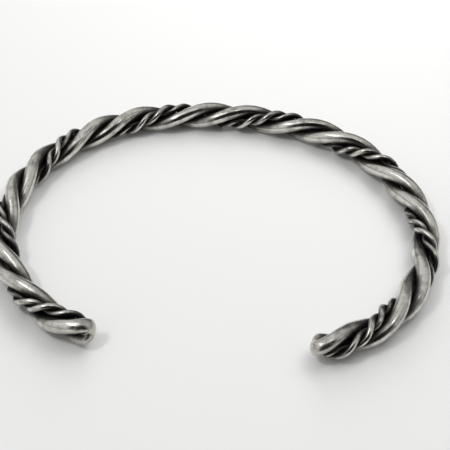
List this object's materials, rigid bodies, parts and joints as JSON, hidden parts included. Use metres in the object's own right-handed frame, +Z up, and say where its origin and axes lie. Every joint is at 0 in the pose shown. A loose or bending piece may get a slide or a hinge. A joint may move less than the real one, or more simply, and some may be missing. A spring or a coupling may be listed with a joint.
{
  "type": "twisted wire bangle",
  "caption": "Open cuff bangle of heavy round wires twisted together with a rope of fine wires, its ends fused into rounded noses.",
  "frame": {"origin": "centre of the bangle's box, on the surface that it lies on", "axes": "+X across the widest way, towards the right tip; the mouth between the tips faces -Y; +Z up through the wrist opening"},
  "size_m": [0.069, 0.0515, 0.0045],
  "materials": {
    "heavy_silver": "sterling silver, worn satin, oxidised in the valleys",
    "fine_silver": "sterling silver, oxidised, bright on the crests",
    "fused_silver": "sterling silver, filed round and worn"
  },
  "bodies": {
    "root": {"heavy_wire_1": "heavy_silver", "heavy_wire_2": "heavy_silver", "fine_wire_1": "fine_silver", "fine_wire_2": "fine_silver", "end_nose_left": "fused_silver", "end_nose_right": "fused_silver"}
  },
  "joints": []
}
